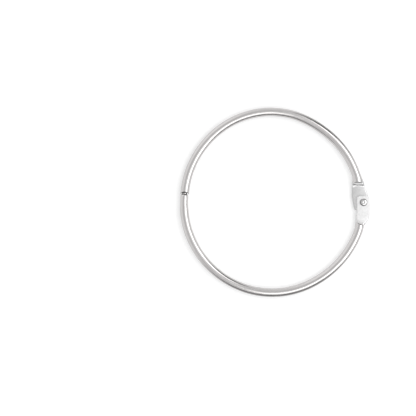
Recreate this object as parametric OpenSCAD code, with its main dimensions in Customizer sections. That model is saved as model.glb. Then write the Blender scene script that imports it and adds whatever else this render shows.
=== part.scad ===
// Hinged loose-leaf ring: two rolled steel half rings, flattened and riveted together at
// one end, with a necked plug that snaps into an open socket at the other.
//
// The ring lies flat. +Z is the rivet's axis, +X points from the ring's middle to the
// rivet, and the underside of the tube rests on z = 0.

/* [Ring] */
// Clear inside diameter of the closed ring, from crown to crown
inner_d = 76.2; // [60:0.1:100]
// Outside diameter of the rolled tube
tube_d = 3.8; // [3.6:0.05:4.2]
// Thickness of the sheet that the tube is rolled from
sheet_t = 0.5; // [0.4:0.02:0.56]
// Width of the butt seam along the tube's inner side
seam_w = 0.12; // [0.06:0.01:0.3]

/* [Bends] */
// How far the socket half's bend centre lies beyond the line from the rivet to the snap
socket_rise = 1; // [0:0.1:1.5]
// How far the plug half's bend centre lies beyond that line
plug_rise = 0.8; // [0:0.1:1.5]
// How far the rivet lies from midway between the crowns, towards the socket half's
rivet_shift = 0.2; // [0:0.05:0.4]
// How much shorter the ring is from rivet to snap than from crown to crown
span_short = 0.65; // [0:0.05:1]
// Turn of the socket half's leaf from square to the line from rivet to snap
socket_leaf_turn = 10.5; // [8:0.5:14]
// Turn of the plug half's leaf from square to that line
plug_leaf_turn = 0; // [0:0.5:10]

/* [Hinge] */
// Width of the plug half's flattened leaf
plug_leaf_w = 5.7; // [4.8:0.1:6.2]
// Width of the socket half's leaf, which is pressed wider round the rivet
socket_leaf_w = 7.1; // [6.2:0.1:7.8]
// Width of the socket half's leaf at its root, where the tube begins to open out
socket_root_w = 5.6; // [4.8:0.1:6]
// How far the plug half's rivet hole lies outside its leaf's middle line
plug_hole_out = 0.3; // [0:0.05:0.6]
// How far the socket half's rivet hole lies outside its leaf's middle line
socket_hole_out = 1.1; // [0.6:0.05:1.2]
// Length of the leaf past the rivet's centre, to its free end
leaf_tip = 2.8; // [2.2:0.1:3.2]
// Radius of the two corners at the leaf's free end
leaf_corner_r = 1.2; // [0.6:0.1:2]
// Rivet's centre to where the plug half's leaf begins to bend towards the tube
plug_even = 4.6; // [3.8:0.1:5.6]
// Rivet's centre to the plug half's root, where its leaf begins to narrow to the tube
plug_root = 6.6; // [6:0.1:7.4]
// Rivet's centre to where the full tube of the plug half starts
plug_tube = 10.6; // [10.2:0.1:13]
// Rivet's centre to where the socket half's leaf begins to narrow to its root
socket_even = 3.4; // [2.6:0.1:4.4]
// Rivet's centre to the root of the socket half's leaf
socket_root = 8.2; // [7:0.1:8.6]
// Rivet's centre to where the full tube of the socket half starts
socket_tube = 12.2; // [11:0.1:14]
// Rivet's centre to the foot of the plug half's shoulder, on the side that is lapped
plug_flat = 7.4; // [6.8:0.1:7.8]
// Rivet's centre to the foot of the socket half's shoulder, on the side that is lapped
socket_flat = 6.4; // [6:0.1:7.6]
// Length of the steep shoulder on the lapped side
shoulder_l = 2; // [1.2:0.1:2.6]
// Rivet's centre to the start of the gentle taper, on the outer side
back_flat = 6.4; // [6:0.1:7]
// Diameter of the rivet's shank
rivet_d = 2; // [1.4:0.1:2.4]
// Diameter of the rivet's two domed heads
head_d = 3.2; // [2.8:0.1:3.6]
// Height of each head
head_h = 0.75; // [0.5:0.05:0.75]
// Height of the straight edge under each dome
head_edge = 0.12; // [0.05:0.01:0.2]
// Radial play of the rivet in its holes
rivet_play = 0.05; // [0.02:0.01:0.1]
// Gap between the leaves, and between the plug half's leaf and its rivet head
leaf_play = 0.05; // [0.02:0.01:0.06]

/* [Snap] */
// Distance of the socket's mouth from the rivet's line, towards the socket half's crown
snap_y = 4.6; // [0:0.1:8]
// Outside diameter of the plug half's necked end
neck_d = 3.4; // [3.2:0.05:3.6]
// Length of the necked end, up to the socket's mouth
neck_l = 5.5; // [4:0.1:8]
// Length over which the tube narrows to the neck
neck_taper_l = 2.4; // [1:0.1:4]
// Diameter of the nose that enters the socket
nose_d = 2.1; // [1.6:0.05:2.15]
// Reach of the nose past the socket's mouth
nose_l = 3.4; // [2.6:0.1:4]
// Gap between the plug's round shoulder and the socket's hollowed mouth
snap_gap = 0.5; // [0.2:0.05:0.6]
// Width left at the two tips of the hollowed mouth
mouth_tip = 0.08; // [0.04:0.01:0.2]

/* [Hidden] */

$fn = 72;
// Sides of the swept sections, and steps in each stretch of a sweep
section_n = 32;
taper_n = 22;
neck_n = 6;
dome_n = 6;
// How far a sweep's full sections, and the core at each end of it, reach inside the piece
// that it joins
lip = 0.04;
sink = 0.2;
// Share of the joined piece's size that the core keeps
core_share = 0.6;
// How much smaller than its neighbour a sweep is where the two meet
step = 0.01;
// Margin by which cutting tools pass the surfaces they cut
over = 1;

tube_r = tube_d / 2;
bore_r = tube_r - sheet_t;
ring_r = inner_d / 2 + tube_r;
leaf_t = 2 * sheet_t;
hole_r = rivet_d / 2 + rivet_play;
neck_r = neck_d / 2;
nose_r = nose_d / 2;
// The mouth is hollowed by an upright cylinder round the middle of the plug's ball shoulder,
// which lies this far short of the mouth
mouth_r = neck_r + snap_gap;

// The rivet stands so that the middle of the ring's whole width is x = 0
rivet_span = 2 * ring_r - span_short;
rivet_x = (rivet_span + tube_r - plug_leaf_w / 2) / 2;

// Each half's leaf: its width, its width at the root, and the distances from the rivet to
// where it narrows, to its root and to its shoulder
socket_leaf = [socket_leaf_w, socket_root_w, socket_even, socket_root, socket_flat];
plug_leaf = [plug_leaf_w, plug_leaf_w, plug_even, plug_root, plug_flat];

// Each half's bend, drawn with the half's crown towards +Y: radius, centre, leaf's turn, how
// far the hole lies outside the leaf's middle line, and the distance at which the tube starts
socket_r = ring_r - rivet_shift - socket_rise;
socket_x = rivet_x - rivet_span + socket_r;
socket_bend = [socket_r, socket_x, socket_rise, socket_leaf_turn, socket_hole_out,
               socket_tube];
plug_r = ring_r + rivet_shift - plug_rise;
plug_x = socket_x - leg(socket_r, snap_y - socket_rise) + leg(plug_r, snap_y + plug_rise);
plug_bend = [plug_r, plug_x, plug_rise, plug_leaf_turn, plug_hole_out, plug_tube];
plug_mouth = 180 + asin((snap_y + plug_rise) / plug_r);
// Middle of the ball shoulder in plan, and the angle at which the socket's tips end
ball_y = snap_y - mouth_r;
ball_x = plug_x - leg(plug_r, ball_y + plug_rise);
tip_y = ball_y + leg(mouth_r, tube_r - mouth_tip);
socket_end = 180 - asin((tip_y - socket_rise) / socket_r);

function leg(hypotenuse, other) = sqrt(pow(hypotenuse, 2) - pow(other, 2));
function degrees(length, r) = length / r * 180 / PI;
function mix(a, b, t) = a + (b - a) * t;
function limit01(t) = min(1, max(0, t));
function ease(t) = let (c = limit01(t)) c * c * (3 - 2 * c);
// 0 up to a length's start, 1 past its end, and a smooth curve between
function ramp(s, start, length) = ease((s - start) / length);

// A spot on a half's centre line is [x, y, angle of its outward direction]
function bend_spot(bend, turn) =
    [bend[1] + bend[0] * cos(turn), bend[2] + bend[0] * sin(turn), turn];
function leaf_spot(bend, s) =
    [rivet_x - s * sin(bend[3]) - bend[4] * cos(bend[3]),
     s * cos(bend[3]) - bend[4] * sin(bend[3]), bend[3]];
function along(spot) = [-sin(spot[2]), cos(spot[2])];
// Angle round the bend at which the tube starts
function tube_turn(bend) = asin((bend[5] - bend[2]) / bend[0]);

// Half width at a distance from the rivet: even round the rivet, then down to the root, and
// from there to the tube
function half_width(bend, leaf, s) =
    mix(mix(leaf[0], leaf[1], limit01((s - leaf[2]) / (leaf[3] - leaf[2]))) / 2,
        tube_r, ramp(s, leaf[3], bend[5] - leaf[3]));

// Spot at a distance from the rivet: on the leaf, on the smooth curve that leads from its
// even stretch to the tube, or on the tube's bend
function hinge_spot(bend, even, s) =
    s <= even ? leaf_spot(bend, s)
    : s >= bend[5] ? bend_spot(bend, tube_turn(bend) + degrees(s - bend[5], bend[0]))
    : let (
        a = leaf_spot(bend, even),
        b = bend_spot(bend, tube_turn(bend)),
        reach = norm([b[0] - a[0], b[1] - a[1]]),
        t = (s - even) / (bend[5] - even),
        p = [a[0], a[1]], q = [b[0], b[1]], u = along(a) * reach, v = along(b) * reach,
        at = mix(p, q, ease(t)) + u * (t * pow(1 - t, 2)) - v * (t * t * (1 - t)),
        way = (q - p) * (6 * t * (1 - t)) + u * ((1 - t) * (1 - 3 * t)) + v * (t * (3 * t - 2)))
    [at[0], at[1], atan2(way[1], way[0]) - 90];

// A point of a section [outward, up], placed at a spot
function placed(p, spot) = [spot[0] + p[0] * cos(spot[2]), spot[1] + p[0] * sin(spot[2]), p[1]];

// Point of an ellipse of half width w and half height h
function ellipse_point(t, w, h) = [w * cos(t), h * sin(t)];

// The matching point of a flat bar with round sides: the quarter turn at each side takes
// the half round, and the rest lies on the flats
function bar_point(t, w, h) =
    let (x = cos(t), y = sin(t), q = atan2(abs(y), abs(x)))
    [sign(x) * (q < 45 ? w - h + h * cos(2 * q) : (w - h) * (90 - q) / 45),
     sign(y) * (q < 45 ? h * sin(2 * q) : h)];

// Section between heights bottom and top, from round (flat = 0) to a bar (flat = 1)
function squeezed(w, bottom, top, flat) =
    let (h = (top - bottom) / 2, mid = (top + bottom) / 2)
    [for (i = [0 : section_n - 1])
        let (t = 360 * i / section_n)
        mix(ellipse_point(t, w, h), bar_point(t, w, h), flat) + [0, mid]];

function round_section(radius) = squeezed(radius, -radius, radius, 0);

// Closes a row of equal sections, which run clockwise round the ring, into one solid
module skin(sections) {
    n = len(sections[0]);
    last = (len(sections) - 1) * n;
    polyhedron(
        points = [for (ring = sections) each ring],
        faces = concat(
            [[for (i = [0 : n - 1]) i]],
            [[for (i = [n - 1 : -1 : 0]) last + i]],
            [for (k = [0 : len(sections) - 2], i = [0 : n - 1])
                let (a = k * n + i, b = k * n + (i + 1) % n)
                each [[a, b + n, b], [a, a + n, b + n]]]));
}

// Hollow tube along a half's bend up to an angle, with its butt seam on the side that faces
// the centre
module tube(bend, to) {
    translate([bend[1], bend[2], 0])
        rotate([0, 0, tube_turn(bend)])
            rotate_extrude(angle = to - tube_turn(bend))
                translate([bend[0], 0])
                    difference() {
                        circle(r = tube_r);
                        circle(r = bore_r);
                        translate([-tube_r - over, -seam_w / 2])
                            square([over + sheet_t + sink, seam_w]);
                    }
}

// Tube squeezed flat: a steep shoulder on top, where the other leaf laps over it, and a
// gentle taper underneath
module hinge_taper(bend, leaf) {
    even = leaf[2];
    lap = -leaf_play / 2;
    middle = lap - leaf_t / 2;
    sections = [for (k = [0 : taper_n])
        let (
            s = mix(bend[5] + lip, even - lip, k / taper_n),
            round = ramp(s, back_flat, bend[5] - back_flat),
            top = mix(lap, tube_r, ramp(s, leaf[4], shoulder_l)),
            bottom = mix(lap - leaf_t, -tube_r, round),
            w = half_width(bend, leaf, s) - step)
        [for (p = squeezed(w, bottom + step, top - step, 1 - round))
            placed(p, hinge_spot(bend, even, s))]];
    tube_core = round_section(bore_r + sheet_t * core_share);
    leaf_core = squeezed(leaf[0] / 2 * core_share, middle - leaf_t / 2 * core_share,
                         middle + leaf_t / 2 * core_share, 1);
    skin(concat(
        [[for (p = tube_core) placed(p, hinge_spot(bend, even, bend[5] + sink))]],
        sections,
        [[for (p = leaf_core) placed(p, hinge_spot(bend, even, even - sink))]]));
}

// Even stretch of the flat leaf, with folded, half-round sides, two rounded corners at its
// free end, and the rivet's hole
module hinge_leaf(bend, leaf) {
    leaf_w = leaf[0];
    even = leaf[2];
    side = (leaf_w - leaf_t) / 2;
    corner_x = leaf_w / 2 - leaf_corner_r;
    corner_y = leaf_corner_r - leaf_tip;
    translate([rivet_x, 0, 0])
        rotate([0, 0, bend[3]])
            difference() {
                translate([-bend[4], even, -(leaf_t + leaf_play) / 2])
                    rotate([90, 0, 0])
                        linear_extrude(even + leaf_tip) {
                            square([2 * side, leaf_t], center = true);
                            for (x = [-side, side])
                                translate([x, 0])
                                    circle(d = leaf_t);
                        }
                for (x = [-1, 1])
                    translate([x * corner_x - bend[4], corner_y, -leaf_t - over])
                        linear_extrude(leaf_t + 2 * over)
                            difference() {
                                translate([x > 0 ? 0 : -leaf_w, -leaf_w])
                                    square(leaf_w);
                                circle(r = leaf_corner_r);
                            }
                translate([0, 0, -leaf_t - over])
                    cylinder(r = hole_r, h = leaf_t + 2 * over);
            }
}

// Hinge end of a half, in the ring's middle plane
module hinge_end(bend, leaf) {
    hinge_leaf(bend, leaf);
    hinge_taper(bend, leaf);
}

// Necked end of the plug half, which reaches into the socket at the mouth. Each point of
// the profile is [distance past the mouth, radius].
module plug_end(bend, mouth) {
    taper_start = neck_l + neck_taper_l;
    dome_edge = asin(nose_r / neck_r);
    tip = [for (k = [0 : dome_n - 1])
        let (t = mix(90, 0, k / dome_n))
        [nose_l - nose_r + nose_r * sin(t), nose_r * cos(t) + step]];
    dome = [for (k = [0 : dome_n])
        let (t = mix(dome_edge, 90, k / dome_n))
        [neck_r * cos(t) - mouth_r, neck_r * sin(t)]];
    neck = [for (k = [1 : neck_n])
        [mix(-mouth_r, -neck_l, k / neck_n), neck_r]];
    taper = [for (k = [1 : neck_n])
        let (s = mix(-neck_l, -taper_start - lip, k / neck_n))
        [s, mix(tube_r - step, neck_r, ramp(s, -taper_start, neck_taper_l))]];
    core = [-taper_start - sink, bore_r + sheet_t * core_share];
    skin([for (p = concat(tip, [[nose_l - nose_r, nose_r]], dome, neck, taper, [core]))
        [for (q = round_section(p[1]))
            placed(q, bend_spot(bend, mouth + degrees(p[0], bend[0])))]]);
}

// Upper half in plan: its leaf lies under the other, and its tube ends in the open socket,
// whose mouth is hollowed to go round the plug's shoulder
module socket_half() {
    color("silver")
        translate([0, 0, tube_r]) {
            hinge_end(socket_bend, socket_leaf);
            difference() {
                tube(socket_bend, socket_end);
                translate([ball_x, ball_y, -tube_r - over])
                    cylinder(r = mouth_r, h = 2 * (tube_r + over));
            }
        }
}

// Lower half in plan: turned over, so that its leaf lies on top, with the plug at its other
// end
module plug_half() {
    color("gainsboro")
        translate([0, 0, tube_r])
            rotate([180, 0, 0]) {
                hinge_end(plug_bend, plug_leaf);
                tube(plug_bend, plug_mouth - degrees(neck_l + neck_taper_l, plug_r));
                plug_end(plug_bend, plug_mouth);
            }
}

// Domed head standing on z = 0
module rivet_head() {
    dome_h = head_h - head_edge;
    ball_r = (pow(head_d / 2, 2) + pow(dome_h, 2)) / (2 * dome_h);
    cylinder(d = head_d, h = head_edge);
    translate([0, 0, head_edge])
        intersection() {
            translate([0, 0, dome_h - ball_r])
                sphere(r = ball_r);
            cylinder(d = head_d, h = dome_h);
        }
}

// Rivet through both leaves, headed on both sides
module hinge_rivet() {
    stack_low = -leaf_t - leaf_play / 2;
    stack_high = leaf_t + leaf_play * 1.5;
    color("whitesmoke")
        translate([rivet_x, 0, tube_r]) {
            translate([0, 0, stack_low])
                cylinder(d = rivet_d, h = stack_high - stack_low);
            translate([0, 0, stack_high])
                rivet_head();
            translate([0, 0, stack_low])
                mirror([0, 0, 1])
                    rivet_head();
        }
}

socket_half();
plug_half();
hinge_rivet();
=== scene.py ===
"""Looks of the hinged loose-leaf ring: rolled steel tube, lap hinge with a rivet, and a
snap plug. The ring's lengths are millimetres and are turned into metres where its meshes
are made, and the floor and the lights are placed in metres. A half is drawn upright, with
its crown towards +Y and its middle plane at z = 0, as the CAD source draws it, and the
plug half is then turned over."""

import math

import bmesh
import bpy
import numpy as np
from mathutils import Matrix, Vector

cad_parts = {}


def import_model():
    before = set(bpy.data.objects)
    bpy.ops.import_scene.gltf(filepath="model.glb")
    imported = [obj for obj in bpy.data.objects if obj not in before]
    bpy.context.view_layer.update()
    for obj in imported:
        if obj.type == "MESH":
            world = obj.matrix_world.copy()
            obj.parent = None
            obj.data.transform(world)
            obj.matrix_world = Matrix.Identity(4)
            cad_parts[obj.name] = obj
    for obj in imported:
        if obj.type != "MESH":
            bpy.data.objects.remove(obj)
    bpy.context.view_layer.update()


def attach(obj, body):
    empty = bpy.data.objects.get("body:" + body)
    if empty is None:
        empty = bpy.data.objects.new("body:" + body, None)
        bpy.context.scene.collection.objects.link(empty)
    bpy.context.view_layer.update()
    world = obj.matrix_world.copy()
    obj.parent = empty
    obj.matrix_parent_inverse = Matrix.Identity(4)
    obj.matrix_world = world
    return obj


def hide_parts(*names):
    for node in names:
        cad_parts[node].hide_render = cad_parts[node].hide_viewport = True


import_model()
scene = bpy.context.scene

# Metres in a millimetre, for meshes, and centimetres in one, for their UV maps
MM = 0.001
CM = 0.1

# ---------------------------------------------------------------- sizes shared with the CAD
TUBE_R = 1.9
SHEET = 0.5
SEAM_W = 0.12
RING_R = 40.0
SOCKET_RISE = 1.0
PLUG_RISE = 0.8
RIVET_SHIFT = 0.2
PLUG_LEAF_W = 5.7
RIVET_SPAN = 2 * RING_R - 0.65
RIVET_X = (RIVET_SPAN + TUBE_R - PLUG_LEAF_W / 2) / 2
LEAF_T = 2 * SHEET
LEAF_TIP = 2.8
CORNER_R = 1.2
SHOULDER = 2.0
BACK_FLAT = 6.4
LEAF_PLAY = 0.05
SHANK_R = 1.0
HOLE_R = SHANK_R + 0.05
HEAD_R = 1.6
HEAD_H = 0.75
HEAD_EDGE = 0.12
SNAP_Y = 4.6
NECK_R = 1.7
NECK_L = 5.5
NECK_TAPER = 2.4
NOSE_R = 1.05
NOSE_L = 3.4
MOUTH_R = NECK_R + 0.5
MOUTH_TIP = 0.08

# ---------------------------------------------------------------- sizes of the finish
# Radii of the leaves' rounded edges, the butt seam's lips, the mouth's rim and the nose's
# blunt tip
EDGE_R = 0.11
LIP_R = 0.07
RIM_R = 0.1
NOSE_TIP_R = 0.02
# Width of the butt seam where the sheet is pressed together
SHUT_SEAM = 0.012
# Least half height of the bore, how much wider than high it stays there, and the most of
# its height that the seam may take: these keep its sides apart where the tube is flat
BORE_H = 0.006
BORE_ASPECT = 1.01
BORE_SEAM = 0.9
# Share of the radius that is metal where the plug half is necked
NECK_WALL = 0.8
# Radius and depth of the dish that is punched into the middle of each rivet head
PUNCH_R = 0.4
PUNCH_DEPTH = 0.12
# Edges that turn by more than this stay sharp
SHARP = math.radians(38)
# Points round a section of the sheet, outside and inside, and over each lip of its seam
N_OUTSIDE, N_INSIDE, N_LIP = 112, 48, 5
# Sides of the rivet, and of the tool that drills its hole
N_RIVET, N_HOLE = 96, 72


def leg(hypotenuse, other):
    return math.sqrt(hypotenuse**2 - other**2)


def ease(t):
    t = np.clip(t, 0, 1)
    return t * t * (3 - 2 * t)


def ramp(s, start, length):
    return ease((s - start) / length)


def mix(a, b, t):
    return a + (b - a) * t


# ---------------------------------------------------------------- centre lines
class Half:
    """One half: the circle of its bend, its leaf, and the distances from the rivet at which
    the leaf ends its even stretch, has its root and its shoulder, and becomes the tube.
    mouth is the bend's angle at the snap."""

    def __init__(self, radius, x, rise, leaf_turn, hole_out, mouth):
        self.r, self.x, self.y = radius, x, rise
        self.leaf_turn, self.hole_out = math.radians(leaf_turn), hole_out
        self.mouth = mouth

    def set_leaf(self, width, root_width, even, root, flat, tube, crown):
        self.w, self.root_w, self.crown = width, root_width, crown
        self.even, self.root, self.flat, self.tube = even, root, flat, tube
        self.start = math.asin((tube - self.y) / self.r)
        self.length = tube + (self.mouth - self.start) * self.r

    def half_width(self, s):
        narrowed = np.clip((s - self.even) / (self.root - self.even), 0, 1)
        leaf = mix(self.w, self.root_w, narrowed)
        return mix(leaf / 2, TUBE_R, ramp(s, self.root, self.tube - self.root))

    def spot(self, s):
        """x, y and outward angle of the centre line at an array s of distances: a straight
        leaf, a smooth curve, and the tube's bend."""
        turn = self.start + (s - self.tube) / self.r
        bend = [self.x + self.r * np.cos(turn), self.y + self.r * np.sin(turn), turn]
        a = self.leaf_turn
        x0 = RIVET_X - self.hole_out * math.cos(a)
        y0 = -self.hole_out * math.sin(a)
        leaf = [x0 - s * math.sin(a), y0 + s * math.cos(a), np.full_like(s, a)]
        t = np.clip((s - self.even) / (self.tube - self.even), 0, 1)
        b = self.start
        first = np.array([x0 - self.even * math.sin(a), y0 + self.even * math.cos(a)])
        last = np.array([self.x + self.r * math.cos(b), self.y + self.r * math.sin(b)])
        span = last - first
        leaving = np.array([-math.sin(a), math.cos(a)]) * np.linalg.norm(span)
        arriving = np.array([-math.sin(b), math.cos(b)]) * np.linalg.norm(span)
        curve = [
            first[i]
            + span[i] * t * t * (3 - 2 * t)
            + leaving[i] * t * (1 - t) ** 2
            - arriving[i] * t * t * (1 - t)
            for i in (0, 1)
        ]
        way = [
            span[i] * 6 * t * (1 - t)
            + leaving[i] * (1 - t) * (1 - 3 * t)
            + arriving[i] * t * (3 * t - 2)
            for i in (0, 1)
        ]
        curve.append(np.arctan2(way[1], way[0]) - math.pi / 2)
        pick = [s <= self.even, s >= self.tube]
        return [np.select(pick, [leaf[i], bend[i]], curve[i]) for i in range(3)]


SOCKET_R = RING_R - RIVET_SHIFT - SOCKET_RISE
SOCKET_X = RIVET_X - RIVET_SPAN + SOCKET_R
PLUG_R = RING_R + RIVET_SHIFT - PLUG_RISE
PLUG_X = SOCKET_X - leg(SOCKET_R, SNAP_Y - SOCKET_RISE) + leg(PLUG_R, SNAP_Y + PLUG_RISE)
SOCKET_MOUTH = math.pi - math.asin((SNAP_Y - SOCKET_RISE) / SOCKET_R)
PLUG_MOUTH = math.pi + math.asin((SNAP_Y + PLUG_RISE) / PLUG_R)
# The socket half's leaf narrows a little sooner and further here than in the CAD, whose
# root is 5.6 wide and 8.2 from the rivet
SOCKET = Half(SOCKET_R, SOCKET_X, SOCKET_RISE, leaf_turn=10.5, hole_out=1.1, mouth=SOCKET_MOUTH)
SOCKET.set_leaf(
    width=7.1, root_width=5.5, even=3.4, root=7.2, flat=6.4, tube=12.2, crown=0.2
)
PLUG = Half(PLUG_R, PLUG_X, PLUG_RISE, leaf_turn=0.0, hole_out=0.3, mouth=PLUG_MOUTH)
PLUG.set_leaf(
    width=PLUG_LEAF_W, root_width=PLUG_LEAF_W, even=4.6, root=6.6, flat=7.4, tube=10.6,
    crown=0.1,
)


# ---------------------------------------------------------------- sections and meshes
def contour(t, w, bottom, top, flat, crown):
    """Points of a section between heights bottom and top: round at flat 0, and at flat 1
    a bar with half-round sides, whose flats are crowned by a share of its half height. t is
    an array of angles, 0 on the outward side."""
    h, mid = (top - bottom) / 2, (top + bottom) / 2
    x, y = np.cos(t), np.sin(t)
    q = np.degrees(np.arctan2(np.abs(y), np.abs(x)))
    side = q < 45
    bar_x = np.where(
        side, w - h + h * np.cos(np.radians(2 * q)), (w - h) * (90 - q) / 45
    )
    bar_y = np.where(
        side, (1 - crown) * np.sin(np.radians(2 * q)), 1 - crown * ((90 - q) / 45) ** 2
    )
    px = mix(w * x, np.sign(x) * bar_x, flat)
    py = mix(h * y, np.sign(y) * h * bar_y, flat) + mid
    return np.stack([px, py], -1)


def sheet_section(w, bottom, top, flat, gap, wall, crown=0.0):
    """Closed outline of the rolled sheet: the outside, round the lips of the butt seam,
    and back along the inside. The seam is on the side that faces the ring's centre."""
    h, mid = (top - bottom) / 2, (top + bottom) / 2
    lip = min(LIP_R, h / 3)
    cut = math.asin((gap / 2 + lip) / h)
    t = np.linspace(math.pi - cut, cut - math.pi, N_OUTSIDE)
    outside = contour(t, w, bottom, top, flat, crown)
    edge_x = outside[0, 0]
    k = np.linspace(0, math.pi / 2, N_LIP)
    arc = np.stack(
        [edge_x + lip * (1 - np.cos(k)), mid + gap / 2 + lip * (1 - np.sin(k))], -1
    )
    upper_lip = arc[::-1][:-1]
    lower_lip = np.stack([arc[:, 0], 2 * mid - arc[:, 1]], -1)[1:]
    in_h = max(h - wall, BORE_H)
    in_w = max(w - wall, in_h * BORE_ASPECT)
    in_cut = math.asin(min(BORE_SEAM, gap / 2 / in_h))
    t = np.linspace(in_cut - math.pi, math.pi - in_cut, N_INSIDE)
    inside = contour(t, in_w, mid - in_h, mid + in_h, flat, crown)
    return np.concatenate([upper_lip, outside, lower_lip, inside])


def sweep(half, stations, sections, off, lag):
    """Places sections at distances from the rivet, and returns an array of points
    [station, point, xyz]. off is each section's shift outward, and lag moves each of its
    points on along the half."""
    x, y, turn = half.spot(stations[:, None] + lag)
    out, up = sections[:, :, 0] + off[:, None], sections[:, :, 1]
    return np.stack([x + out * np.cos(turn), y + out * np.sin(turn), up], -1)


def section_girth(section):
    """Distance round a section from its first point to each of its points."""
    step = np.linalg.norm(np.diff(section, axis=0), axis=1)
    return np.concatenate([[0], np.cumsum(step)])


def finish_mesh(name, mesh):
    bm = bmesh.new()
    bm.from_mesh(mesh)
    bmesh.ops.recalc_face_normals(bm, faces=bm.faces)
    bm.to_mesh(mesh)
    bm.free()
    mesh.shade_smooth()
    mesh.set_sharp_from_angle(angle=SHARP)
    obj = bpy.data.objects.new(name, mesh)
    scene.collection.objects.link(obj)
    return obj


def skin(name, points, stations, girth):
    """Mesh over rows of equal closed sections, with a face at each end. Its UV map runs
    along the piece and round it, in centimetres."""
    rows, n, _ = points.shape
    faces = []
    for r in range(rows - 1):
        a = r * n
        for i in range(n):
            j = (i + 1) % n
            faces.append((a + i, a + j, a + n + j, a + n + i))
    faces.append(tuple(range(n - 1, -1, -1)))
    last = (rows - 1) * n
    faces.append(tuple(last + i for i in range(n)))
    mesh = bpy.data.meshes.new(name)
    mesh.from_pydata((points.reshape(-1, 3) * MM).tolist(), [], faces)
    layer = mesh.uv_layers.new(name="UVMap")
    index = np.empty(len(mesh.loops), int)
    mesh.loops.foreach_get("vertex_index", index)
    uv = np.empty((len(mesh.loops), 2))
    uv[:, 0] = np.repeat(stations * CM, n)[index]
    uv[:, 1] = np.tile(girth * CM, rows)[index]
    # The faces that close each row end on its first point, a step past its last one
    closing_step = 0.01
    closing = np.arange(n - 1, (rows - 1) * n, n)
    corner = closing[:, None] * 4 + np.array([1, 2])
    uv[corner.ravel(), 1] = girth[-1] * CM + closing_step
    layer.data.foreach_set("uv", uv.ravel())
    return finish_mesh(name, mesh)


def lathe(name, profile, centre):
    """Solid of revolution about a vertical line. profile is [radius, height] from its low
    end on the axis to its high end on the axis. The UV map's first axis runs outwards, in
    centimetres."""
    k = np.linspace(0, 2 * math.pi, N_RIVET, endpoint=False)
    points, faces = [(centre[0], centre[1], centre[2] + profile[0][1])], []
    for r, z in profile[1:-1]:
        points += [
            (centre[0] + r * c, centre[1] + r * s, centre[2] + z)
            for c, s in zip(np.cos(k), np.sin(k))
        ]
    points.append((centre[0], centre[1], centre[2] + profile[-1][1]))
    rows = len(profile) - 2
    for i in range(N_RIVET):
        j = (i + 1) % N_RIVET
        faces.append((0, 1 + j, 1 + i))
        for r in range(rows - 1):
            a, b = 1 + r * N_RIVET, 1 + (r + 1) * N_RIVET
            faces.append((a + i, a + j, b + j, b + i))
        a = 1 + (rows - 1) * N_RIVET
        faces.append((a + i, a + j, len(points) - 1))
    mesh = bpy.data.meshes.new(name)
    mesh.from_pydata([tuple(c * MM for c in p) for p in points], [], faces)
    layer = mesh.uv_layers.new(name="UVMap")
    for loop in mesh.loops:
        x, y, z = mesh.vertices[loop.vertex_index].co / MM
        x, y = x - centre[0], y - centre[1]
        layer.data[loop.index].uv = (math.hypot(x, y) * CM, (x + z) * CM)
    return finish_mesh(name, mesh)


# ---------------------------------------------------------------- hinge ends
# What the press leaves, as heights in the half's upright frame. The lapped side rises in a
# step, a slope and a second step into the tube's crown, by distance past the end of the
# leaf's flat. The other side keeps a flat with a sharp end, by distance from the rivet.
LAP_HEIGHTS = (
    (0.5, -0.025), (0.8, 0.02), (0.93, 0.1), (1.05, 0.69), (1.15, 0.78), (1.95, 1.13),
    (2.05, 1.2), (2.55, 2.05), (6, 2.2),
)
BACK_HEIGHTS = (
    (5, -1.03), (6.4, -1.04), (9.45, -1.16), (9.65, -1.3), (10.05, -2.4), (12, -2.6),
)
# How far the corners of those lines are rounded, and the creases where they meet the tube,
# at the most and at the least
CORNER_BLUR = 0.04
CREASE, LEAST_CREASE = 0.07, 0.001
# Start and length, past the end of the leaf's flat, of the stretch in which the lapped side
# turns from flat to arched, and of the one in which the arch grows as round as the tube
ARCHING = (0.7, 0.7)
ROUNDING = (1.8, 2.5)
# Powers that give the arch: a flatter one first, and a circle's at the tube
FLATTER_ARCH, ROUND_ARCH = 1, 0.5
# How far the inside of the sheet keeps below the marks
INSIDE_DROP = SHEET * 0.7


def blurred(at, knots, spread):
    """Straight lines between knots, with corners rounded over about 2 * spread."""
    x, y = np.array(knots).T
    shift = np.array([-1.5, -1, -0.5, 0, 0.5, 1, 1.5])
    weight = np.exp(-(shift**2))
    rows = [np.interp(at + k * spread, x, y) for k in shift]
    return sum(r * w for r, w in zip(rows, weight)) / weight.sum()


def positive(gap, soft):
    """The part of gap above zero, with its corner rounded over soft on both sides."""
    part = np.where(gap > soft, gap, (gap + soft) ** 2 / (4 * soft))
    return np.where(gap < -soft, 0, part)


def hinge_shape(half, s):
    """Half width, bottom, top and flatness of the tube at distance s from the rivet."""
    lap = -LEAF_PLAY / 2
    round_share = ramp(s, BACK_FLAT, half.tube - BACK_FLAT)
    top = mix(lap, TUBE_R, ramp(s, half.flat, SHOULDER))
    bottom = mix(lap - LEAF_T, -TUBE_R, round_share)
    return half.half_width(s), bottom, top, 1 - round_share


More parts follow.
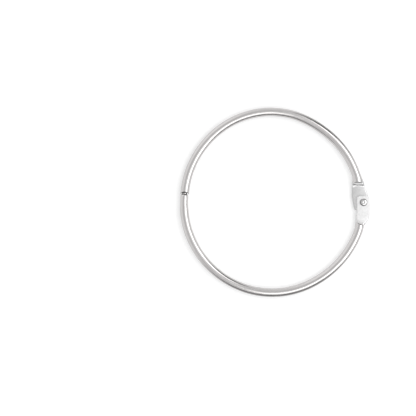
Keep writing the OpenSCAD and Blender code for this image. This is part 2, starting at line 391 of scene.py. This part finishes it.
def pressed(half, s, points):
    """Moves the points of a plain section so that the press marks show."""
    w, bottom, top, _ = hinge_shape(half, s)
    mid = (top + bottom) / 2
    across, z = points[:, 0], points[:, 1]
    within = np.arange(len(points)) >= len(points) - N_INSIDE
    drop = np.where(within, INSIDE_DROP, 0)
    peak = np.where(within, z[within].max(), z.max())
    side = np.where(within, np.abs(across[within]).max(), np.abs(across).max())
    boxy = (z - mid) / (peak - mid)
    a = half.leaf_turn
    past = s * math.cos(a) + (across - half.hole_out) * math.sin(a) - half.flat
    power = mix(FLATTER_ARCH, ROUND_ARCH, ramp(past, *ROUNDING))
    arched = np.clip(1 - (across / side) ** 2, 0, 1) ** power
    turn = ramp(past, *ARCHING)
    marks = blurred(past, LAP_HEIGHTS, CORNER_BLUR)
    steps = mid + mix(boxy, 1, turn) * (marks - drop - mid)
    tube = mid + mix(boxy, arched, turn) * (TUBE_R - drop - mid)
    crease = LEAST_CREASE + CREASE * turn
    z = np.where(z > mid, steps - positive(steps - tube, crease), z)
    least = blurred(s, BACK_HEIGHTS, CORNER_BLUR) + drop
    least = least + half.crown * LEAF_T / 2 * (across / w) ** 2
    return np.stack([across, least + positive(z - least, CREASE)], -1)


def hinge_stations(half):
    """Distances from the rivet, from the leaf's free end to where the tube begins. They
    lie close together from the distance close on, and closest between near and far, where
    the press marks are steep."""
    close, near, far = 6.2, half.flat + 0.4, half.flat + 3.0
    plain, fine = 0.05, 0.025
    # Angle round the leaf's corner at which it has passed the rounded edge
    past_edge = 0.48
    edge = -LEAF_TIP + EDGE_R * (1 - np.cos(np.linspace(0, math.pi / 2, 6)))
    turns = np.linspace(past_edge, math.pi / 2, 12)
    corner = -LEAF_TIP + CORNER_R * (1 - np.cos(turns))
    flat = np.linspace(-LEAF_TIP + CORNER_R, half.even, 14)[1:]
    narrowing = np.linspace(half.even, close, 12)[1:]
    steps = [np.arange(close + plain, near, plain), np.arange(near, far, fine)]
    steps.append(np.arange(far, half.tube - 0.01, plain))
    return np.concatenate([edge, corner, flat, narrowing, *steps, [half.tube]])


def hinge_section(half, s):
    w, bottom, top, flat = hinge_shape(half, s)
    from_tip = s + LEAF_TIP
    if from_tip < CORNER_R:
        w = w - CORNER_R + leg(CORNER_R, CORNER_R - from_tip)
    if from_tip < EDGE_R:
        inset = EDGE_R - leg(EDGE_R, EDGE_R - from_tip)
        bottom, top, w = bottom + inset, top - inset, w - inset
    gap = mix(SHUT_SEAM, SEAM_W, 1 - flat)
    made = sheet_section(w, bottom, top, flat, gap, SHEET, half.crown)
    return pressed(half, s, made) if s > half.even else made


# ---------------------------------------------------------------- the three pieces
# How far the bending tool has left each half out of its true circle: degrees round the
# bend, and millimetres outward
SOCKET_DRIFT = (
    (8, 0.0), (15, 0.2), (25, 0.0), (51, -0.46), (61, -0.38), (76, 0.12), (94, 0.35),
    (114, 0.28), (142, 0.0), (175, 0.0),
)
PLUG_DRIFT = (
    (5, 0.0), (8, -0.2), (11, -0.1), (15, 0.32), (19, 0.26), (33, -0.12), (45, -0.33),
    (60, -0.41), (84, -0.2), (105, -0.11), (150, -0.06), (172, 0.0),
)


def drift(half, s, knots, grows, clear, fades):
    """Outward shift at distances s. It grows over a length past the leaf's even stretch,
    and fades over another one that starts at the distance clear before the mouth."""
    turned = np.degrees(half.start + (s - half.tube) / half.r)
    off = blurred(turned, knots, 2) * ramp(s, half.even, grows)
    return off * (1 - ramp(s, half.length - clear, fades))


def ring_socket():
    """The mouth is hollowed by an upright cylinder round the plug's ball shoulder, so the
    sides of the tube reach on past the middle of its top."""
    half = SOCKET
    tube_end = half.length - RIM_R
    rim = tube_end + RIM_R * np.sin(np.linspace(0, math.pi / 2, 6))[1:]
    s = np.concatenate(
        [hinge_stations(half), np.linspace(half.tube, tube_end, 190)[1:], rim]
    )
    sections = []
    for v in s:
        if v <= half.tube:
            sections.append(hinge_section(half, v))
            continue
        into = min(max(0.0, v - tube_end), RIM_R)
        inset = RIM_R - leg(RIM_R, into)
        r = TUBE_R - inset
        sections.append(sheet_section(r, -r, r, 0, SEAM_W, SHEET - 2 * inset))
    sections = np.array(sections)
    across = np.minimum(np.abs(sections[:, :, 0]), TUBE_R - MOUTH_TIP)
    hollow = MOUTH_R - np.sqrt(MOUTH_R**2 - across**2)
    grows_over = 4
    grown = np.clip((s - half.length + grows_over) / grows_over, 0, 1) ** 2
    lag = hollow * grown[:, None]
    off = drift(half, s, SOCKET_DRIFT, grows=8, clear=12, fades=12)
    points = sweep(half, s, sections, off, np.where(s[:, None] > half.tube, lag, 0))
    points[:, :, 2] += TUBE_R
    plain_tube = sections[-30]
    return skin("socket_tube", points, s, section_girth(plain_tube))


def plug_radius(d):
    """Radius at distance d past the mouth: tube, taper, neck, ball shoulder and nose."""
    if d < -MOUTH_R:
        return mix(NECK_R, TUBE_R, ramp(-NECK_L - d, 0, NECK_TAPER))
    if d + MOUTH_R < leg(NECK_R, NOSE_R):
        return leg(NECK_R, d + MOUTH_R)
    if d < NOSE_L - NOSE_R:
        return NOSE_R
    return math.sqrt(max(NOSE_R**2 - (d - NOSE_L + NOSE_R) ** 2, NOSE_TIP_R**2))


def ring_plug():
    half = PLUG
    swage = half.length - NECK_L - NECK_TAPER
    ball_edge = math.acos(NOSE_R / NECK_R)
    ball = half.length + (np.sin(np.linspace(0, ball_edge, 26))[1:] * NECK_R - MOUTH_R)
    dome = NOSE_L - NOSE_R + NOSE_R * np.sin(np.linspace(0, math.pi / 2, 14))[1:]
    s = np.concatenate([
        hinge_stations(half),
        np.linspace(half.tube, swage, 180)[1:],
        np.linspace(swage, half.length - MOUTH_R, 70)[1:],
        ball,
        np.linspace(ball[-1], half.length + NOSE_L - NOSE_R, 8)[1:],
        half.length + dome,
    ])
    sections = []
    for v in s:
        if v <= half.tube:
            sections.append(hinge_section(half, v))
            continue
        r = plug_radius(v - half.length)
        shut = ramp(v, swage - 1, 3)
        wall = mix(SHEET, r * NECK_WALL, shut)
        gap = min(mix(SEAM_W, SHUT_SEAM, shut), r * 0.2)
        sections.append(sheet_section(r, -r, r, 0, gap, wall))
    sections = np.array(sections)
    off = drift(half, s, PLUG_DRIFT, grows=6, clear=20, fades=12)
    points = sweep(half, s, sections, off, np.zeros(sections.shape[:2]))
    points[:, :, 1:] *= -1
    points[:, :, 2] += TUBE_R
    flat_leaf = sections[90]
    return skin("plug_tube", points, s, section_girth(flat_leaf))


def rivet():
    """Shank and two pressed heads: a small rim, a round shoulder and a punched middle."""
    low, high = -LEAF_T - LEAF_PLAY / 2, LEAF_T + LEAF_PLAY * 1.5
    head = [(SHANK_R, 0.0)]
    for inset, z in ((0.08, 0.0), (0.03, 0.02), (0, 0.06), (0, HEAD_EDGE)):
        head.append((HEAD_R - inset, z))
    for k in np.linspace(0.08, 1, 20):
        a = k * math.pi / 2
        r = PUNCH_R + (HEAD_R - PUNCH_R) * math.cos(a) ** 0.8
        head.append((r, HEAD_EDGE + (HEAD_H - HEAD_EDGE) * math.sin(a) ** 1.1))
    for k in np.linspace(0.9, 0, 10):
        head.append((PUNCH_R * k, HEAD_H - PUNCH_DEPTH + PUNCH_DEPTH * k * k))
    lower = [(r, low - z) for r, z in reversed(head)]
    upper = [(r, high + z) for r, z in head]
    return lathe("rivet", lower + upper, (RIVET_X, 0, TUBE_R))


def drill(obj):
    """Cuts the rivet's hole through a leaf."""
    bm = bmesh.new()
    radius, depth = HOLE_R * MM, 8 * MM
    bmesh.ops.create_cone(
        bm, cap_ends=True, segments=N_HOLE, radius1=radius, radius2=radius, depth=depth
    )
    mesh = bpy.data.meshes.new("drill")
    bm.to_mesh(mesh)
    bm.free()
    tool = bpy.data.objects.new("drill", mesh)
    tool.location = (RIVET_X * MM, 0, TUBE_R * MM)
    scene.collection.objects.link(tool)
    cut = obj.modifiers.new("hole", "BOOLEAN")
    cut.operation, cut.solver, cut.object = "DIFFERENCE", "EXACT", tool
    bpy.context.view_layer.update()
    done = bpy.data.meshes.new_from_object(
        obj.evaluated_get(bpy.context.evaluated_depsgraph_get())
    )
    obj.modifiers.clear()
    obj.data = done
    bpy.data.objects.remove(tool)
    obj.data.shade_smooth()
    obj.data.set_sharp_from_angle(angle=SHARP)


# ---------------------------------------------------------------- node trees
class Tree:
    """A node tree, with a short way to add each kind of node that repeats here."""

    def __init__(self, tree):
        self.nodes, self.links = tree.nodes, tree.links

    def calc(self, operation, a, b=0.0):
        """Math node on two values, each of them a number or another node's output."""
        node = self.nodes.new("ShaderNodeMath")
        node.operation = operation
        for number_in, value in zip(node.inputs, (a, b)):
            if isinstance(value, (int, float)):
                number_in.default_value = value
            else:
                self.links.new(value, number_in)
        return node.outputs[0]

    def smooth(self, value, low, high, size):
        """0 up to low, size from high on, and a smooth curve between. With high below low
        it runs the other way."""
        fit = self.nodes.new("ShaderNodeMapRange")
        fit.interpolation_type = "SMOOTHSTEP"
        fit.inputs["From Min"].default_value = low
        fit.inputs["From Max"].default_value = high
        fit.inputs["To Max"].default_value = size
        self.links.new(value, fit.inputs["Value"])
        return fit.outputs["Result"]

    def dot(self, point, way):
        """Dot product of a point, or a direction, with the unit vector way."""
        product = self.nodes.new("ShaderNodeVectorMath")
        product.operation = "DOT_PRODUCT"
        product.inputs[1].default_value = way
        self.links.new(point, product.inputs[0])
        return product.outputs["Value"]

    def noise(self, point, scale, detail):
        noise = self.nodes.new("ShaderNodeTexNoise")
        noise.inputs["Scale"].default_value = scale
        noise.inputs["Detail"].default_value = detail
        self.links.new(point, noise.inputs["Vector"])
        return noise.outputs["Fac"]


# ---------------------------------------------------------------- nickelled steel
# The plating where it clouds over and where it is clear, and on the pressed leaves
NICKEL_CLOUDED = (0.672, 0.654, 0.65, 1)
NICKEL_CLEAR = (0.705, 0.686, 0.682, 1)
NICKEL_LEAF = (0.673, 0.671, 0.672, 1)
ROUGH_LEAST, ROUGH_MOST = 0.16, 0.27
# Centimetres from the rivet at which the leaf's satin and its own colour are gone, and up
# to which they are full
SATIN_ENDS, SATIN_FULL = 0.95, 0.6
LEAF_ENDS, LEAF_FULL = 1.0, 0.85
# Share of the colour that painted shade takes away, and spread of the leaf's speckle
PAINTED_SHADE = 0.75
SPECKLE = 0.3
# Drawing lines: how much finer the pattern is round the tube than along it, and the share
# and height in metres of its relief
DRAWN = (0.6, 14.0, 1.0)
RELIEF, RELIEF_HEIGHT = 0.12, 0.00002


def nickel(name, seed, satin, painted_lift, painted_shade_bands):
    """Drawn and nickelled steel. Along the leaf, whose roughness grows by the satin share, its
    colour is painted lighter by a further share, which is painted light.
    Along the UV map's first axis, painted shade darkens its colour between the first two of
    four given distances, and ends between the last two."""
    mat = bpy.data.materials.new(name)
    mat.use_nodes = True
    tree = Tree(mat.node_tree)
    nodes, links = tree.nodes, tree.links
    bsdf = nodes["Principled BSDF"]
    bsdf.inputs["Metallic"].default_value = 1.0
    where = nodes.new("ShaderNodeTexCoord")
    axes = nodes.new("ShaderNodeSeparateXYZ")
    links.new(where.outputs["UV"], axes.inputs[0])
    along = axes.outputs["X"]

    stretch = nodes.new("ShaderNodeMapping")
    stretch.inputs["Scale"].default_value = DRAWN
    stretch.inputs["Location"].default_value = (seed, seed * 2.0, 0)
    links.new(where.outputs["UV"], stretch.inputs["Vector"])
    drawn = tree.noise(stretch.outputs["Vector"], scale=6.0, detail=5.0)
    cloud = tree.noise(where.outputs["Object"], scale=260.0, detail=4.0)
    grain = tree.noise(where.outputs["Object"], scale=1500.0, detail=3.0)

    rough = nodes.new("ShaderNodeMapRange")
    rough.inputs["To Min"].default_value = ROUGH_LEAST
    rough.inputs["To Max"].default_value = ROUGH_MOST
    links.new(cloud, rough.inputs["Value"])
    satin_part = tree.smooth(along, SATIN_ENDS, SATIN_FULL, satin)
    total = tree.calc("ADD", rough.outputs["Result"], satin_part)
    links.new(total, bsdf.inputs["Roughness"])

    tint = nodes.new("ShaderNodeValToRGB")
    clouded, clear = tint.color_ramp.elements
    clouded.position, clouded.color = 0.3, NICKEL_CLOUDED
    clear.position, clear.color = 0.7, NICKEL_CLEAR
    links.new(cloud, tint.inputs["Fac"])
    leaf = tree.smooth(along, LEAF_ENDS, LEAF_FULL, 1.0)
    colour = nodes.new("ShaderNodeMix")
    colour.data_type = "RGBA"
    share_in, tint_in, leaf_in = (colour.inputs[i] for i in (0, 6, 7))
    leaf_in.default_value = NICKEL_LEAF
    links.new(tint.outputs["Color"], tint_in)
    links.new(leaf, share_in)
    # The leaf's random speckle, plus a share of painted light that makes the plug's leaf
    # lighter than the socket's
    speckle = tree.calc("MULTIPLY", grain, SPECKLE)
    speckle = tree.calc("ADD", speckle, painted_lift - SPECKLE / 2)
    speckle = tree.calc("MULTIPLY", speckle, leaf)
    share = tree.calc("ADD", speckle, 1.0)
    # Painted shade: the colour darkens in the given bands, where shade falls in the gaps
    share = tree.calc("ADD", share, tree.smooth(along, painted_shade_bands[0], painted_shade_bands[1], -PAINTED_SHADE))
    share = tree.calc("ADD", share, tree.smooth(along, painted_shade_bands[2], painted_shade_bands[3], PAINTED_SHADE))
    shade = nodes.new("ShaderNodeVectorMath")
    shade.operation = "SCALE"
    links.new(colour.outputs[2], shade.inputs[0])
    links.new(share, shade.inputs["Scale"])
    links.new(shade.outputs["Vector"], bsdf.inputs["Base Color"])

    bump = nodes.new("ShaderNodeBump")
    bump.inputs["Strength"].default_value = RELIEF
    bump.inputs["Distance"].default_value = RELIEF_HEIGHT
    links.new(drawn, bump.inputs["Height"])
    links.new(bump.outputs["Normal"], bsdf.inputs["Normal"])
    return mat


# ---------------------------------------------------------------- build
socket = ring_socket()
plug = ring_plug()
pin = rivet()
for piece in (socket, plug):
    drill(piece)
# Bands of painted shade, in centimetres, that darken the colour where shade falls: round the
# plug's nose where it sits in the mouth, the mouth's rim, and the rivet's head where it meets
# the leaf
nose = [(PLUG.length + d) * CM for d in (-0.6, -0.45, 0.2, 0.7)]
mouth = [(SOCKET.length + d) * CM for d in (-0.22, -0.1, 1, 2)]
rim = (0.115, 0.15, 1, 2)
# The column after satin paints the plug's leaf lighter as painted light; the last column gives
# each piece's bands of painted shade
for piece, node, body, slot, seed, satin, painted_lift, painted_shade_bands in (
    (socket, "socket_half", "socket_side", "socket_half", 1.0, 0.1, 0.0, mouth),
    (plug, "plug_half", "plug_side", "plug_half", 5.0, 0.4, 0.2, nose),
    (pin, "hinge_rivet", "socket_side", "rivet", 9.0, 0.0, 0.0, rim),
):
    piece.data.materials.clear()
    piece.data.materials.append(nickel("nickel_" + slot, seed, satin, painted_lift, painted_shade_bands))
    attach(piece, body)
    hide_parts(node)


# ---------------------------------------------------------------- floor, light, room
FLOOR_HALF = 1.5
FLOOR_SHADE = 0.7
# Light that the paper gives off, as the metal shows it and as the camera sees it. They
# differ for the likeness to the photo: equal, they show the metal the camera's background
GLOW_IN_METAL, GLOW_SEEN = 0.2, 0.4
# Areas of the floor that are dark to the metal alone, at two sides. They begin under the
# ring, where no real card could lie unseen, and are here for the likeness to the photo: with
# none, the floor is plain. (direction, distance from the ring's centre where the dark
# begins, and where it is full, distance to each side where it is full, and where it ends,
# share of light taken)
DARK_AREAS = (
    ((0.15, -1, 0), 36, 52, 90, 120, 0.55),
    ((0.66, 0.75, 0), 34, 48, 10, 24, 0.55),
)
# The room's even light, and rows that brighten or darken it round one direction, within a
# band of heights: (direction, dot product at the rim, at full strength, height where it
# ends, height where it is full, change). Together they reach from -0.05, low on the +X +Y
# side, to 1.34, so the room is far from even
ROOM_LEVEL = 0.74
ROOM = (
    ((-1, 0.2, 0), 0.2, 0.7, 0.9, 0.6, 0.4),
    ((0, 1, 0), 0.3, 0.8, 0.9, 0.6, 0.2),
    ((0, -1, 0), 0.3, 0.7, 0.9, 0.7, 0.1),
    ((0.2, -0.05, 1), 0.9, 0.99, -1, -0.9, 0.32),
    ((0.02, -1, 0), 0.3, 0.85, 0.52, 0.25, -0.8),
    ((0.58, 0.77, 0.24), 0.93, 0.985, -1, -0.9, -0.95),
)


def floor():
    mesh = bpy.data.meshes.new("floor")
    signs = ((-1, -1), (1, -1), (1, 1), (-1, 1))
    corners = [(x * FLOOR_HALF, y * FLOOR_HALF, 0) for x, y in signs]
    mesh.from_pydata(corners, [], [(0, 1, 2, 3)])
    obj = bpy.data.objects.new("floor", mesh)
    scene.collection.objects.link(obj)
    mat = bpy.data.materials.new("paper")
    mat.use_nodes = True
    tree = Tree(mat.node_tree)
    bsdf = tree.nodes["Principled BSDF"]
    bsdf.inputs["Roughness"].default_value = 1.0
    bsdf.inputs["Specular IOR Level"].default_value = 0.0
    bsdf.inputs["Emission Color"].default_value = (1, 1, 1, 1)
    path = tree.nodes.new("ShaderNodeLightPath").outputs
    where = tree.nodes.new("ShaderNodeTexCoord").outputs["Object"]
    share = 1.0
    for way, near, far, full, end, change in DARK_AREAS:
        way = Vector(way).normalized()
        out = tree.dot(where, way)
        side = tree.calc("ABSOLUTE", tree.dot(where, Vector((-way.y, way.x, 0))))
        dark = tree.smooth(out, near * MM, far * MM, change)
        dark = tree.calc("MULTIPLY", dark, tree.smooth(side, end * MM, full * MM, 1.0))
        dark = tree.calc("MULTIPLY", dark, path["Is Glossy Ray"])
        share = tree.calc("SUBTRACT", share, dark)
    paper = tree.calc("MULTIPLY", share, FLOOR_SHADE)
    tree.links.new(paper, bsdf.inputs["Base Color"])
    in_metal = tree.calc("MAXIMUM", path["Is Glossy Ray"], path["Is Transmission Ray"])
    in_metal = tree.calc("MULTIPLY", in_metal, GLOW_IN_METAL)
    in_metal = tree.calc("MULTIPLY", in_metal, share)
    seen = tree.calc("MULTIPLY", path["Is Camera Ray"], GLOW_SEEN)
    tree.links.new(tree.calc("ADD", in_metal, seen), bsdf.inputs["Emission Strength"])
    mesh.materials.append(mat)


def direction(azimuth, from_zenith):
    a, z = math.radians(azimuth), math.radians(from_zenith)
    return Vector((math.cos(a) * math.sin(z), math.sin(a) * math.sin(z), math.cos(z)))


def panel(name, start, end, breadth, distance, radiance):
    """Long soft panel that faces the ring. start and end are the (azimuth, angle from the
    zenith) of the middles of its short sides."""
    a, b = direction(*start) * distance, direction(*end) * distance
    middle, span = (a + b) / 2, b - a
    lamp = bpy.data.lights.new(name, "AREA")
    lamp.shape = "RECTANGLE"
    lamp.size, lamp.size_y = span.length, breadth
    lamp.energy = radiance * math.pi * span.length * breadth
    back, x = middle.normalized(), span.normalized()
    y = back.cross(x)
    obj = bpy.data.objects.new(name, lamp)
    obj.rotation_mode = "QUATERNION"
    obj.rotation_quaternion = Matrix((x, y, back)).transposed().to_quaternion()
    obj.location = middle
    obj.visible_camera = False
    scene.collection.objects.link(obj)


def world():
    made = bpy.data.worlds.new("room")
    made.use_nodes = True
    made.node_tree.nodes.clear()
    tree = Tree(made.node_tree)
    out = tree.nodes.new("ShaderNodeOutputWorld")
    shade = tree.nodes.new("ShaderNodeBackground")
    tree.links.new(shade.outputs[0], out.inputs["Surface"])
    where = tree.nodes.new("ShaderNodeTexCoord").outputs["Generated"]
    height = tree.nodes.new("ShaderNodeSeparateXYZ")
    tree.links.new(where, height.inputs[0])
    total = ROOM_LEVEL
    for way, rim, full, ends, starts, change in ROOM:
        part = tree.smooth(tree.dot(where, Vector(way).normalized()), rim, full, change)
        band = tree.smooth(height.outputs["Z"], ends, starts, 1.0)
        total = tree.calc("ADD", tree.calc("MULTIPLY", part, band), total)
    tree.links.new(total, shade.inputs["Strength"])
    scene.world = made


floor()
world()
panel("key", (-45, 53), (50, 55), breadth=0.68, distance=1.2, radiance=1.7)
panel("key_edge", (-98, 27), (-48, 36), breadth=0.57, distance=1.2, radiance=1.35)

# ---------------------------------------------------------------- camera
# Width of the photo, and millimetres to one of its pixels at the tube's middle height
PHOTO_W = 416
PIXEL = 0.44336
SENSOR = 36.0
EYE_X, EYE_Y, EYE_ABOVE = -29.72, -2.5, 700.0
camera = bpy.data.cameras.new("camera")
camera.sensor_width = SENSOR
camera.lens = SENSOR * EYE_ABOVE / (PHOTO_W * PIXEL)
camera.clip_start, camera.clip_end = 0.05, 10.0
eye = bpy.data.objects.new("camera", camera)
eye.location = (EYE_X * MM, EYE_Y * MM, (EYE_ABOVE + TUBE_R) * MM)
scene.collection.objects.link(eye)
scene.camera = eye

scene.view_settings.view_transform = "Standard"
